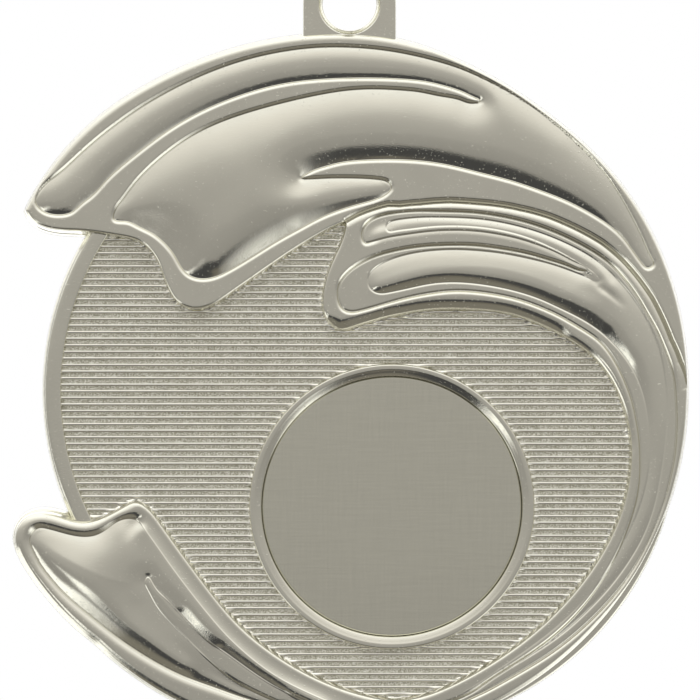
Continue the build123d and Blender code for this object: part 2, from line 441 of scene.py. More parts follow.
def wave(name, relief, features, edge_radius, seam_width, nodes):
    """One wave: its top, rounded edge and drafted wall. Of its CAD nodes, the first is the wave itself."""
    outline = loops[nodes[0]].copy()
    free, seam = split_outline(nodes[0], outline)
    edge = Line(outline)
    picked = [outline - normals(outline) * d for d in EDGE_ROWS]
    for line in features:
        picked += [line.p - normals(line.p, line.closed) * r for r in ROWS]
    points = np.vstack(picked)
    points = dedupe(points[edge.distance(points) > RIM_GAP], FINE_GAP)
    grid = hex_grid(outline, GRID)
    grid = thin(grid[edge.distance(grid) > 2 * FINE_GAP], points, 0.5 * GRID)
    flat, faces = triangulate([outline], np.vstack([points, grid]))
    radius = edge_radius(flat)
    inset = np.clip(1 - find_all(search_tree(free), flat, GAP) / radius, 0, 1)
    drop = (EDGE_R + EDGE_FALL * (radius - EDGE_R)) * (1 - np.sqrt(1 - inset**2))
    if len(seam) > 1:
        inset = np.clip(1 - find_all(search_tree(seam), flat, GAP) / seam_width, 0, 1)
        drop = np.maximum(drop, SEAM_FALL * inset**2)
    h = relief(flat) - drop
    verts = at_depth(flat, h)
    faces = facing_front(verts, faces)
    # the side wall hangs from the outline
    ids = find_all(search_tree(flat), outline, INDEX)
    top = h[ids]
    out = normals(outline, True, 3)
    ring = ids.tolist()
    for share in (0.12, 1.0):
        level = top + (PLATE - SUNK - top) * share
        below = list(range(len(verts), len(verts) + len(outline)))
        verts += at_depth(outline + out * (DRAFT * (top - level))[:, None], level)
        faces += strip(ring, below)
        ring = below
    place(make_piece(name, verts, faces, plated), "medal", "plated_metal", *nodes)


loops = {name: front_loop(name, 0.08) for name in ("upper_wave", "crest_wave", "lower_wave")}
lines = {name: Line(loop) for name, loop in loops.items()}
# the seam between the two upper waves sags a little below the straight cut of the plates
SAG_X = (2.0, 5.0, 6.2, 8.2, 11.2, 14.2, 16.2, 18.2, 21.2, 24.2, 26.5, 28.5, 31.5, 33.4, 34.3, 34.8)
SAG_Z = (0.0, 0.1, 0.4, 0.5, 0.42, 0.5, 0.5, 0.45, 0.2, 0.1, 0.0, 0.1, 0.5, 1.2, 0.8, 0.0)
SEAM_WITH = {"upper_wave": "crest_wave", "crest_wave": "upper_wave"}
JOINS = {"lower_wave": "crest_wave", "crest_wave": "lower_wave"}
TOUCH = 0.03  # two outlines closer than this are the same line


def split_outline(node, outline):
    """A wave's outline points that are free, and those on its seam, which it moves down to the sag."""
    seam = np.zeros(len(outline), bool)
    join = np.zeros(len(outline), bool)
    if node in SEAM_WITH:
        seam = np.abs(lines[SEAM_WITH[node]].distance(outline)) < TOUCH
        outline[seam, 1] -= np.interp(outline[seam, 0], SAG_X, SAG_Z)
    if node in JOINS:
        join = np.abs(lines[JOINS[node]].distance(outline)) < TOUCH
    return outline[~seam & ~join], outline[seam]


# ---------------------------------------------------------------- materials
class Graph:
    """Short calls that add shader nodes to a tree and give the socket with the result."""

    def __init__(self, tree):
        self.tree = tree

    def put(self, socket, value):
        """Link a socket to another, or set its value."""
        if isinstance(value, bpy.types.NodeSocket):
            self.tree.links.new(value, socket)
        else:
            socket.default_value = value

    def add(self, kind, inputs, output=0, **settings):
        node = self.tree.nodes.new("ShaderNode" + kind)
        for key, value in settings.items():
            setattr(node, key, value)
        for key, value in inputs.items():
            self.put(node.inputs[key], value)
        return node.outputs[output]

    def noise(self, at, scale, detail, rough=0.5):
        return self.add("TexNoise", {"Vector": at, "Scale": scale, "Detail": detail, "Roughness": rough})

    def spread(self, value, to, start=(0.0, 1.0), curve="LINEAR"):
        """The value mapped from one range to another."""
        ends = {"From Min": start[0], "From Max": start[1], "To Min": to[0], "To Max": to[1]}
        return self.add("MapRange", {"Value": value, **ends}, interpolation_type=curve)

    def ramp(self, value, *stops):
        """A colour ramp through stops of (position, colour), in order."""
        socket = self.add("ValToRGB", {"Fac": value})
        elements = socket.node.color_ramp.elements
        elements.remove(elements[0])
        elements[0].position = stops[0][0]
        for position, _ in stops[1:]:
            elements.new(position)
        for element, (_, colour) in zip(elements, stops):
            element.color = (*colour, 1)
        return socket

    def mix(self, factor, a, b, blend="MIX"):
        """A mix of two colours, each a socket or (red, green, blue)."""
        a, b = ((*c, 1) if isinstance(c, tuple) else c for c in (a, b))
        return self.add("Mix", {0: factor, 6: a, 7: b}, 2, data_type="RGBA", blend_type=blend)

    def bump(self, height, strength, distance, under=None):
        inputs = {"Height": height, "Strength": strength, "Distance": distance}
        if under is not None:
            inputs["Normal"] = under
        return self.add("Bump", inputs)


def new_material(name, finish):
    """A material, where finish gives the shader's inputs from its graph and object coordinates."""
    material = bpy.data.materials.new(name)
    material.use_nodes = True
    graph = Graph(material.node_tree)
    shader = material.node_tree.nodes["Principled BSDF"]
    for key, value in finish(graph, graph.add("TexCoord", {}, "Object")).items():
        graph.put(shader.inputs[key], value)
    return material


NICKEL = (0.785, 0.772, 0.672)
NICKEL_DULL = tuple(0.965 * c for c in NICKEL)
WHITE = (1.0, 1.0, 1.0)
RIB_FLANK = (2.14, 2.24)  # between these depths the ribs' finish takes over from the valleys'


def metal(rough, rough_spread, grain, grain_scale, waviness):
    """Nickel plate: uneven roughness and tint, fine pits, small raised specks and a slow waviness."""

    def finish(graph, at):
        slow = graph.noise(at, 260.0, 2.0)
        specks = graph.spread(graph.noise(at, 5200.0, 1.0), (0.0, 1.0), (0.7, 0.78), "SMOOTHSTEP")
        normal = graph.bump(slow, waviness, 0.1 * MM)
        normal = graph.bump(specks, 0.5, 0.03 * MM, normal)
        return {
            "Metallic": 1.0,
            "Roughness": graph.spread(slow, (rough - rough_spread, rough + rough_spread)),
            "Base Color": graph.ramp(slow, (0.3, NICKEL_DULL), (0.7, NICKEL)),
            "Normal": graph.bump(graph.noise(at, grain_scale, 3.0, 0.6), grain, 0.04 * MM, normal),
        }

    return finish


def ribbed(graph, at):
    """Smooth rib crests over a grained, slightly tarnished ground, told apart by their depth."""
    y = graph.add("SeparateXYZ", {"Vector": at}, "Y")
    ground = graph.spread(y, (0.0, 1.0), (-RIB_FLANK[1] * MM, -RIB_FLANK[0] * MM))
    tint = graph.mix(ground, (0.93, 0.915, 0.83), (1.0, 0.99, 0.88))
    cloud = graph.ramp(graph.noise(at, 420.0, 2.0), (0.35, (0.95, 0.95, 0.95)), (0.65, WHITE))
    grit = graph.ramp(graph.noise(at, 6800.0, 1.0), (0.4, (0.5, 0.49, 0.43)), (0.6, WHITE))
    grain = graph.noise(at, 4200.0, 3.0, 0.7)
    return {
        "Base Color": graph.mix(ground, graph.mix(1.0, tint, cloud, "MULTIPLY"), grit, "MULTIPLY"),
        "Roughness": graph.spread(ground, (0.12, 0.16)),
        "Metallic": graph.spread(ground, (1.0, 0.6)),
        "Normal": graph.bump(grain, graph.spread(ground, (0.03, 1.0)), 0.16 * MM),
    }


def brushed(graph, at):
    """A satin blank, brushed finely both ways."""
    lines_across, lines_up = (
        graph.noise(graph.add("Mapping", {"Vector": at, "Scale": scale}), 1.0, 4.0, 0.6)
        for scale in ((300.0, 300.0, 9000.0), (9000.0, 300.0, 300.0))
    )
    both = graph.add("Mix", {0: 0.45, 2: lines_across, 3: lines_up}, data_type="FLOAT")
    return {
        "Metallic": 1.0,
        "Roughness": 0.13,
        "Base Color": graph.ramp(both, (0.3, (0.7, 0.69, 0.59)), (0.7, (0.775, 0.765, 0.655))),
        "Normal": graph.bump(both, 0.08, 0.02 * MM),
    }


def cloudy(dark, pale, scale, rough):
    """A matte surface with faint clouds."""

    def finish(graph, at):
        colour = graph.ramp(graph.noise(at, scale, 3.0), (0.0, dark), (1.0, pale))
        return {"Base Color": colour, "Roughness": rough}

    return finish


plated = new_material("plated_metal", metal(0.07, 0.02, 0.12, 9000.0, 0.05))
cast = new_material("plated_cast_back", metal(0.11, 0.03, 0.3, 5000.0, 0.1))
ring_metal = new_material("ring_wire", metal(0.12, 0.03, 0.15, 6000.0, 0.05))
ribs_metal = new_material("ribbed_metal", ribbed)
disc_metal = new_material("brushed_disc", brushed)
pad_film = new_material("adhesive_film", cloudy((0.72, 0.7, 0.62), (0.82, 0.8, 0.74), 900.0, 0.45))
pale_floor = new_material("pale_floor", cloudy((0.82, 0.82, 0.81), (0.87, 0.87, 0.86), 90.0, 0.7))

# ---------------------------------------------------------------- upper wave
# the foot of its one long swelling, which a lip parts at the left and a hooked tongue parts below
upper_foot = [
    (-30.1, 19.6), (-30.2, 18.9), (-29.8, 18.25), (-29, 17.8), (-27.8, 17.65), (-26.7, 17.9),
    (-25.8, 18.65), (-24.6, 19.6), (-23.4, 20.9), (-22, 22.25), (-20.1, 23.8), (-17.8, 25.55),
    (-13.8, 27.95), (-9.8, 29.6), (-5.8, 30.7), (-1.8, 31.2), (2.2, 31.35), (6.2, 31.25), (8.7, 31),
    (10.7, 30.55), (12.4, 30), (13.7, 29.4), (14.3, 29), (13.6, 28.77), (12.2, 29.1), (10.2, 29.5),
    (8.2, 29.9), (6.2, 30.1), (4.2, 30.2), (1.2, 30.1), (-1.8, 29.65), (-5.8, 28.75), (-9.8, 27.6),
    (-13.8, 25.95), (-16.8, 24), (-18.8, 22.3), (-20.4, 20.6), (-21.6, 19), (-22.35, 17.8), (-22.4, 17.25),
    (-21.3, 17), (-20, 16.5), (-18.6, 15.8), (-17.3, 14.75), (-16.4, 13.65), (-15.8, 12.6), (-15.1, 11.75),
    (-14.3, 11.35), (-13.3, 11.25), (-12.3, 11.45), (-11, 12.05), (-8.8, 13.35), (-5.8, 15.2), (-3.8, 16.3),
    (-1.8, 17.35), (0.2, 18.15), (2.2, 18.75), (4, 19.3), (5, 19.9), (5.3, 20.4), (5, 20.85), (4.2, 21.12),
    (2.7, 21.25), (0.7, 21.3), (-1.3, 21.27), (-2.8, 21.2), (-3.7, 21.3), (-2.9, 21.9), (-1.6, 22.4),
    (0.2, 22.87), (2.2, 23.1), (4.2, 23.18), (6.2, 23.17), (8.7, 23.0), (11.2, 22.6), (14.2, 21.87),
    (17.2, 21.1), (20.2, 20.1), (23.2, 18.9), (25.2, 17.85), (26.8, 16.85), (28.4, 15.5), (29.6, 13.95),
    (30.4, 12.85), (31.1, 12.35), (31.5, 12.65), (31.3, 13.3), (30.5, 15), (29.5, 17.1), (28, 19.8),
    (26.3, 22.2), (24.4, 24.25), (22.4, 26.1), (20.3, 27.8), (18.2, 29.25), (16.2, 30.4), (14.2, 31.4),
    (12.2, 32.25), (10.2, 32.9), (8.2, 33.42), (6.2, 33.84), (3.7, 34.2), (0.7, 34.4), (-2.3, 34.35),
    (-5.3, 34), (-8.8, 33.25), (-12.3, 32.1), (-15.8, 30.55), (-19.3, 28.6), (-22.6, 26.3), (-25.6, 23.8),
    (-28.2, 21.5),
]
upper_line = Line(spline(upper_foot))
upper_slope = blend_field(
    (0.36, [(-28.0, 21.5), (-16.0, 30.5), (0.0, 34.4), (12.0, 32.3), (22.0, 26.5)]),
    (0.36, [(-25.0, 19.5), (-14.0, 28.0), (0.0, 31.3), (13.5, 29.5)]),
    (0.33, [(-22.0, 18.5), (-10.0, 27.5), (6.0, 30.0), (13.5, 28.8)]),
    (0.2, [(-21.0, 17.0), (-17.2, 14.6), (-15.8, 12.6)]),
    (0.3, [(-15.0, 11.7), (-13.3, 11.2)]),
    (0.45, [(-11.6, 11.9), (-9.0, 13.4), (-5.0, 15.8)]),
    (0.4, [(-3.0, 17.0), (0.2, 18.1), (4.6, 19.6)]),
    (0.36, [(-3.0, 21.8), (4.0, 23.2), (14.0, 22.3), (25.0, 18.6)]),
    (0.3, [(28.0, 16.0), (31.0, 12.4), (29.5, 17.0), (25.0, 23.5)]),
)
upper_pillow = Pillow(upper_line, upper_slope)


def upper_relief(q):
    s = upper_line.distance(q)
    shoulder = np.where(s < 0, (1 - np.clip(-s / SHOULDER, 0, 1)) ** 2, 1.0)
    return LIP - GROOVE * shoulder + seam_line(s, 0.05, 0.045) + upper_pillow.height(q, s)


upper_edge = blend_field((0.65, [(-30.0, 20.5), (-20.0, 30.0), (0.0, 35.5), (5.0, 35.2)]),
                         (0.32, [(12.0, 33.2), (20.0, 28.4), (34.0, 5.0)]),
                         (0.3, [(-28.0, 16.3), (-18.0, 13.0), (-14.0, 8.3), (-7.0, 12.0), (0.0, 16.0)]))
upper_nodes = ("upper_wave", "outer_swell", "inner_swell")
wave("upper_wave_relief", upper_relief, [upper_line], upper_edge, 0.5, upper_nodes)

# ---------------------------------------------------------------- crest wave
# the inner side of the lips, round both strands
strand_groove = [
    (2.5, 15.2), (2.5, 16), (2.9, 16.7), (3.7, 17.25), (4.8, 17.6), (6.2, 17.82), (8.2, 17.95),
    (10.2, 17.92), (12.2, 17.87), (14.2, 17.73), (16.2, 17.43), (18.2, 17), (20.2, 16.4), (22.2, 15.62),
    (24.2, 14.65), (26.2, 13.45), (27.5, 12.4), (28.8, 10.95), (30, 9.3), (31, 7.6), (31.85, 6.1),
    (32.6, 4.4), (33.2, 2.8), (33.65, 0.9), (33.8, -0.9), (33.88, -2.9), (33.8, -4.9), (33.6, -6.9),
    (33.2, -8.9), (32.7, -10.9), (32, -12.9), (31, -15.2), (29.7, -17.6), (27.9, -20.1), (25.8, -22.4),
    (23.4, -24.6), (20.7, -26.6), (17.2, -28.7), (14.2, -30.3), (11.7, -31.6), (10.2, -32.2), (9.8, -32),
    (11.2, -31.2), (15.2, -29), (19.2, -26.4), (22.4, -23.9), (25, -21.1), (27, -18.2), (28.4, -15.5),
    (29.4, -12.9), (30, -10.7), (30.25, -8.9), (30.3, -6.9), (30.2, -4.9), (29.9, -2.9), (29.5, -1.1),
    (28.9, 0.6), (27.8, 2.9), (26.2, 5), (24.2, 6.4), (22.2, 7.55), (20.2, 8.45), (18.2, 9.15),
    (16.2, 9.62), (14.2, 9.92), (11.7, 10.05), (9.2, 9.8), (6.7, 9.3), (4.2, 8.6), (2.2, 8.05), (1.2, 7.95),
    (0.5, 8.25), (0.1, 9), (0, 9.9), (0.2, 10.75), (0.7, 11.5), (1.4, 12.15), (2.4, 12.8), (3.7, 13.4),
    (5.2, 13.85), (7.2, 14.25), (9.2, 14.47), (11.2, 14.55), (13.7, 14.5), (16.2, 14.2), (18.7, 13.75),
    (21.2, 13.05), (23.4, 12.3), (24.5, 11.98), (25.0, 12.08), (24.75, 12.36), (24, 12.75), (22.2, 13.65),
    (20.2, 14.5), (18.2, 15.15), (16.2, 15.6), (14.2, 15.9), (11.7, 16.03), (9.2, 15.92), (6.7, 15.6),
    (4.7, 15.25), (3.2, 14.85), (2.7, 14.85),
]
# the foot of the swelling itself, inside a narrow ledge
strand_foot = [
    (4.85, 16.35), (5, 16.75), (5.5, 17), (6.4, 17.17), (8.2, 17.34), (10.2, 17.36), (12.2, 17.31),
    (14.2, 17.17), (16.2, 16.87), (18.2, 16.42), (20.2, 15.82), (22.2, 15.04), (24.2, 14.07), (25.9, 13),
    (27.3, 11.8), (28.6, 10.4), (29.8, 8.8), (30.8, 7.2), (31.6, 5.5), (32.2, 3.8), (32.6, 1.9),
    (32.85, -0.4), (32.9, -2.9), (32.75, -4.9), (32.5, -7.1), (32.2, -8.9), (31.8, -10.9), (31.2, -12.9),
    (30.2, -15.2), (29, -17.2), (27.3, -19.5), (25.2, -21.8), (22.8, -24), (20, -26), (16.7, -28),
    (14, -29.5), (12.4, -30.2), (13.2, -29.7), (16.2, -27.7), (20, -25), (23, -22.5), (25.6, -19.7),
    (27.6, -16.9), (29.1, -14.2), (30.05, -12.1), (30.6, -10.4), (31, -8.7), (31.2, -6.9), (31.2, -4.9),
    (31.05, -2.9), (30.7, -0.9), (30, 1.2), (29, 3), (27.7, 4.6), (26.2, 6), (24.2, 7.3), (22.2, 8.3),
    (20.2, 9.2), (18.2, 9.87), (16.2, 10.35), (14.2, 10.68), (11.7, 10.87), (9.2, 10.7), (7, 10.25),
    (5.2, 9.87), (4, 9.8), (3.3, 10.2), (3.03, 10.85), (3.15, 11.6), (3.8, 12.35), (5, 13.02), (6.7, 13.58),
    (9.2, 14), (11.7, 14.12), (14.2, 14), (16.7, 13.7), (19.2, 13.2), (21.7, 12.55), (23.8, 11.8),
    (25.3, 11.15), (25.9, 10.95), (26.2, 11.08), (26.05, 11.42), (25.2, 12.15), (23.7, 13.1), (22, 14.05),
    (20.2, 14.9), (18.2, 15.62), (16.2, 16.1), (14.2, 16.4), (11.7, 16.54), (9.2, 16.45), (7, 16.2),
    (5.6, 16), (5, 16.02),
]
# a crease that fades out where the two strands run together
strand_crease = [(24.8, 11.6), (26, 10.6), (27.2, 9.7), (28.4, 8.65), (29.2, 7.9)]
groove_line = Line(spline(strand_groove))
foot_line = Line(spline(strand_foot))
crease_line = Line(spline(strand_crease, False), False)
crest_slope = blend_field(
    (0.25, [(5.0, 17.0), (12.0, 17.3), (20.0, 15.8), (27.0, 12.0)]),
    (0.12, [(5.0, 16.0), (12.0, 16.5), (20.0, 15.0), (25.5, 12.0)]),
    (0.33, [(3.3, 12.0), (8.0, 13.9), (14.0, 14.0), (20.0, 13.0), (25.5, 11.0)]),
    (0.56, [(4.0, 9.8), (8.0, 10.5), (12.0, 10.8), (18.0, 9.9), (22.0, 8.4)]),
    (0.5, [(24.2, 7.3), (26.0, 6.1)]),
    (0.42, [(27.2, 5.2), (28.5, 3.8)]),
    (0.34, [(29.5, 2.0), (31.2, -6.0), (30.0, -12.5), (26.0, -19.0), (20.0, -25.0)]),
    (0.3, [(29.0, 9.8), (32.3, 3.5), (32.8, -4.0), (31.0, -13.5), (26.0, -21.0)]),
)
# the upper strand is a ramp that runs up onto the lip below it, so its lower groove is only a trace
crest_depth = blend_field(
    (1.0, [(2.6, 16.4), (6.0, 17.7), (12.0, 17.8), (18.0, 17.0), (25.0, 14.2), (30.0, 9.3), (33.5, 1.0)]),
    (0.22, [(4.5, 15.4), (9.0, 16.05), (14.0, 16.1), (19.0, 15.1), (24.0, 12.9), (27.0, 10.4)]),
    (1.0, [(25.0, 11.6), (18.7, 13.7), (11.2, 14.5), (4.0, 13.4), (0.2, 10.8), (1.2, 8.0), (12.0, 10.1),
           (24.0, 6.5)]),
    (1.0, [(28.9, 0.6), (30.3, -6.9), (28.4, -15.5), (19.2, -26.4)]),
    (1.0, [(33.8, -4.9), (31.0, -15.2), (23.4, -24.6)]),
)
crest_pillow = Pillow(foot_line, crest_slope, 0.1)
LEDGE = 0.09  # the ledge stands this far above the grooves beside it
LEDGE_W = 0.22
STRANDS_MEET = np.array([25.9, 11.2])  # the grooves are shallower and the ledge fades here


def crest_relief(q):
    s1 = groove_line.distance(q)
    s2 = foot_line.distance(q)
    t = np.clip(np.minimum(s1, -s2) / LEDGE_W, 0, 1)
    ledge = np.where((s1 > 0) & (s2 < 0), LEDGE * (1 - (1 - t) ** 2), 0.0)
    fade = 1 - np.exp(-(((q - STRANDS_MEET) / 1.3) ** 2).sum(1))
    fall = np.where(s1 < 0, (1 - np.clip(-s1 / SHOULDER, 0, 1)) ** 2, 1.0) * GROOVE * crest_depth(q)
    d = np.abs(crease_line.distance(q))
    along = crease_line.index / len(crease_line.p)
    strength = 0.13 * smoothstep(0.1, 0.45, along) * (1 - smoothstep(0.5, 0.95, along))
    crease = strength * np.exp(-((d / 0.35) ** 2))
    return LIP - fall * (0.4 + 0.6 * fade) + ledge * fade + crest_pillow.height(q, s2) - crease


crest_edge = blend_field(
    (1.7, [(0.0, 6.0), (2.0, 6.3), (5.0, 7.2)]),
    (1.5, [(7.0, 7.7), (11.0, 8.1), (16.0, 7.9), (21.0, 6.2)]),
    (0.8, [(24.0, 4.6), (27.5, 0.5), (29.3, -4.5)]),
    (0.35, [(29.3, -7.5), (28.0, -12.5), (22.0, -21.5), (12.0, -29.0)]),
    (0.35, [(-1.4, 8.5), (-0.8, 12.5), (0.4, 15.8)]),
    (0.6, [(34.0, -8.0), (30.0, -18.0), (22.0, -27.0), (12.0, -33.0)]),
)
crest_nodes = ("crest_wave", "upper_strand", "lower_strand")
wave("crest_wave_relief", crest_relief, [groove_line, foot_line], crest_edge, 0.78, crest_nodes)

# ---------------------------------------------------------------- lower wave
wave_foot = [
    (-30.8, -15), (-30.6, -14.25), (-30, -13.75), (-29.1, -13.8), (-27.8, -14.15), (-26, -14.55),
    (-24.3, -14.45), (-23.1, -13.8), (-22, -13.05), (-21.1, -12.8), (-20.2, -12.95), (-19.4, -13.9),
    (-18.6, -15.05), (-17.3, -16.9), (-15.8, -18.95), (-14.3, -20.9), (-12.8, -22.75), (-11.3, -24.45),
    (-9.8, -25.9), (-7.8, -27.55), (-5.3, -29.15), (-2.3, -30.6), (0.7, -31.7), (2, -32.1), (0.7, -32),
    (-2.8, -31), (-5.8, -29.7), (-8, -28.4), (-10.6, -26.55), (-12.8, -24.95), (-15.2, -22.75),
    (-17.2, -20.65), (-18.4, -19.3), (-19.05, -18.55), (-19.3, -18.9), (-19.05, -19.9), (-18.3, -21.3),
    (-17.2, -22.75), (-15.6, -24.4), (-13.8, -26.25), (-11.8, -28), (-9.3, -29.7), (-6.8, -30.9),
    (-3.8, -31.9), (-1.8, -32.4), (-3.8, -32.2), (-6.8, -31.5), (-9.8, -30.6), (-12.3, -29.7),
    (-14.8, -28.8), (-17.3, -27.65), (-19.8, -26.2), (-21.8, -24.85), (-23.3, -23.7), (-24.8, -22.5),
    (-26.3, -21.25), (-27.8, -19.85), (-28.8, -18.7), (-29.8, -17.35), (-30.5, -16),
]
wave_line = Line(spline(wave_foot))
lower_slope = blend_field(
    (0.66, [(-30.7, -16.0), (-28.0, -19.5), (-22.0, -24.7), (-16.0, -28.2)]),
    (0.5, [(-13.0, -29.4), (-6.0, -31.7)]),
    (0.42, [(-29.5, -14.0), (-26.0, -14.5), (-22.5, -13.5)]),
    (0.12, [(-19.5, -13.8), (-15.8, -18.9), (-11.0, -24.5), (-6.0, -28.6)]),
    (0.1, [(-18.5, -21.0), (-15.5, -24.4), (-9.5, -29.5)]),
    (0.16, [(-19.2, -18.5), (-18.0, -20.0), (-16.0, -22.0)]),
    (0.25, [(-14.0, -23.8), (-8.0, -28.4)]),
)
lower_pillow = Pillow(wave_line, lower_slope, 0.1)
# how far the lip falls to the swelling's foot, and over what width: on the right it rises instead
lower_fall = blend_field(
    (0.34, [(-20.6, -12.75), (-25.0, -14.5), (-30.5, -14.5), (-28.0, -19.5), (-14.0, -29.0), (-4.0, -32.3)]),
    (-0.3, [(-18.9, -14.2), (-15.8, -18.9), (-11.0, -24.5), (-2.0, -30.8)]),
    (-0.2, [(-19.2, -18.4), (-18.2, -20.0), (-16.8, -21.6)]),
    (-0.12, [(-15.8, -22.6), (-13.0, -25.2)]),
    (0.05, [(-11.8, -26.2), (-9.0, -28.2), (-6.0, -30.4)]),
)
lower_spine = Line(spline([(-19.1, -18.9), (-17.6, -21.3), (-15.0, -24.0), (-11.0, -27.4)], False), False)
lower_width = blend_field(
    (0.85, [(-21.0, -12.8), (-25.0, -14.5), (-30.5, -14.5), (-28.0, -19.5), (-14.0, -29.0), (-4.0, -32.3)]),
    (1.35, [(-19.7, -13.2), (-18.8, -14.4), (-15.8, -18.9), (-11.0, -24.5), (-2.0, -30.8)]),
    (0.35, [(-19.0, -19.5), (-17.0, -22.0), (-12.0, -26.5), (-6.0, -30.4)]),
)


def lower_relief(q):
    s = wave_line.distance(q)
    t = np.clip(-s / lower_width(q), 0, 1)
    fall = lower_fall(q) * np.where(s < 0, (1 - t) ** 2, 1.0)
    # the lip that parts the swelling rises out of it at its tip
    along = lower_spine.distance(q)
    far = lower_spine.index / len(lower_spine.p)
    near = 1 - smoothstep(0.3, 1.6, np.abs(along))
    rise = 0.32 * (1 - smoothstep(0.0, 0.9, far)) * near * np.where(s < 0, 1 - (1 - t) ** 2, 0.0)
    return LIP - fall + seam_line(s, 0.03, 0.05) + rise + lower_pillow.height(q, s)


lower_edge = blend_field(
    (0.95, [(-31.8, -16.0), (-31.0, -12.8), (-26.0, -13.0), (-21.5, -11.6)]),
    (0.4, [(-19.2, -11.7), (-15.0, -17.0), (-9.8, -23.4), (-3.0, -28.0)]),
    (0.95, [(-31.5, -17.5), (-27.0, -23.0), (-20.0, -28.0), (-8.0, -34.0)]),
)
lower_nodes = ("lower_wave", "left_swell", "inner_ridge")
wave("lower_wave_relief", lower_relief, [wave_line], lower_edge, 0.5, lower_nodes)

# ---------------------------------------------------------------- back plate
FOOT = 0.2  # the plate stands out this far from the outline, under the drafted walls
SMOOTHING = 8


def wall(verts, faces, outline, profile):
    """Rings round a counter-clockwise outline: each step of the profile is (offset outwards, depth)."""
    out = normals(outline, True, SMOOTHING)
    skirt(verts, faces, [at_depth(outline + out * offset, depth) for offset, depth in profile])


def cap(verts, faces, outlines, depth, front=True, step=1.2):
    """A flat face inside the first outline and outside the others."""
    edges = [Line(q) for q in outlines]

    def inside(q, margin):
        ok = edges[0].distance(q) > margin
        for hole in edges[1:]:
            ok &= hole.distance(q) < -margin
        return ok

    grid = hex_grid(outlines[0], step)
    flat, tris = triangulate(outlines, grid[inside(grid, 0.4 * step)])
    if len(outlines) > 1:
        middles = np.array([flat[list(f)].mean(0) for f in tris])
        tris = [f for f, ok in zip(tris, inside(middles, 0.0)) if ok]
    points = at_depth(flat, depth)
    base = len(verts)
    verts.extend(points)
    faces.extend(tuple(base + i for i in f[:: 1 if front else -1]) for f in facing_front(points, tris))


def turned(verts, faces, axis, profile, sides):
    """Rings round a front-to-back axis: each step of the profile is (radius, depth)."""
    skirt(verts, faces, [at_depth(circle(axis, r, sides=sides), d) for r, d in profile])


def arc_profile(middle, radius, start, stop, count):
    """Points round an arc of a profile, from one angle in degrees to another."""
    angles = np.radians(np.linspace(start, stop, count))
    return [(middle[0] + radius * math.cos(a), middle[1] + radius * math.sin(a)) for a in angles]


RECESS = centre("centre_disc")[[0, 2]]
DISC_R = half_width("centre_disc")
RECESS_R = DISC_R + 0.1
RING_FOOT = half_width("bezel_ring")
BACK_EDGE = 0.3  # radius of the plate's back edge
FILLET = 0.1  # at the recess's floor
plate_loop = front_loop("back_plate", 0.3)
plate_out = normals(plate_loop, True, SMOOTHING)
plate_face = PLATE - 0.05
plate_wall = [(FOOT - 0.12, plate_face), (FOOT, PLATE - 0.12)]
plate_wall += [(FOOT + DRAFT * (PLATE - 0.12 - d), d) for d in (1.2, 0.5, BACK_EDGE)]
side = plate_wall[-1][0]
for a in (0.4, 0.8, 1.2, math.pi / 2):
    plate_wall.append((side - BACK_EDGE * (1 - math.cos(a)), BACK_EDGE * (1 - math.sin(a))))
verts, faces = [], []
wall(verts, faces, plate_loop, plate_wall)
hole = circle(RECESS, RECESS_R, 0.3)
cap(verts, faces, [plate_loop + plate_out * plate_wall[0][0], hole], plate_face)
cap(verts, faces, [plate_loop + plate_out * plate_wall[-1][0]], 0.0, False)
wall(verts, faces, hole[::-1], [(0.0, plate_face), (0.0, POCKET + FILLET), (FILLET, POCKET)])
cap(verts, faces, [circle(RECESS, RECESS_R - FILLET, 0.3)], POCKET)
place(make_piece("cast_back_plate", verts, faces, cast), "medal", "plated_metal", "back_plate")

# ---------------------------------------------------------------- flat rim
RIM_AT = (0.6, 0.0)
RIM_OUT, RIM_IN = 30.0, 28.4
EDGE = 0.32  # radius of the rim's outer edge
INNER = 0.14  # radius of its inner edge
rim_profile = [(RIM_IN - 0.1, PLATE - 0.04), (RIM_IN - 0.04, PLATE + 0.1), (RIM_IN, RIM - 0.2)]
for a in (0.4, 0.9, 1.3):
    rim_profile.append((RIM_IN + INNER * (1 - math.cos(a)), RIM - INNER * (1 - math.sin(a))))
rim_profile += [(RIM_IN + 0.2, RIM), (RIM_IN + 0.6, RIM), (RIM_OUT - 0.5, RIM)]
for a in (0.25, 0.5, 0.8, 1.1, 1.35):
    rim_profile.append((RIM_OUT - EDGE * (1 - math.sin(a)), RIM - EDGE * (1 - math.cos(a))))
rim_profile += [(RIM_OUT + DRAFT * d, RIM - EDGE - d) for d in (0.0, 0.2)]
rim_profile.append((RIM_OUT + FOOT, PLATE - 0.12))
verts, faces = [], []
turns = np.radians(np.arange(140.0, 212.01, 0.5))
for a in turns:
    verts += [(RIM_AT[0] + r * math.cos(a), d, RIM_AT[1] + r * math.sin(a)) for r, d in rim_profile]
n = len(rim_profile)
for i in range(len(turns) - 1):
    for k in range(n - 1):
        a, b = i * n + k, (i + 1) * n + k
        faces.append((a, a + 1, b + 1, b))
faces.append(tuple(range(n)))
faces.append(tuple((len(turns) - 1) * n + k for k in reversed(range(n))))
place(make_piece("bare_rim", verts, faces, cast), "medal", "plated_metal", "flat_rim")

# ---------------------------------------------------------------- ribbed field
PITCH = 0.66
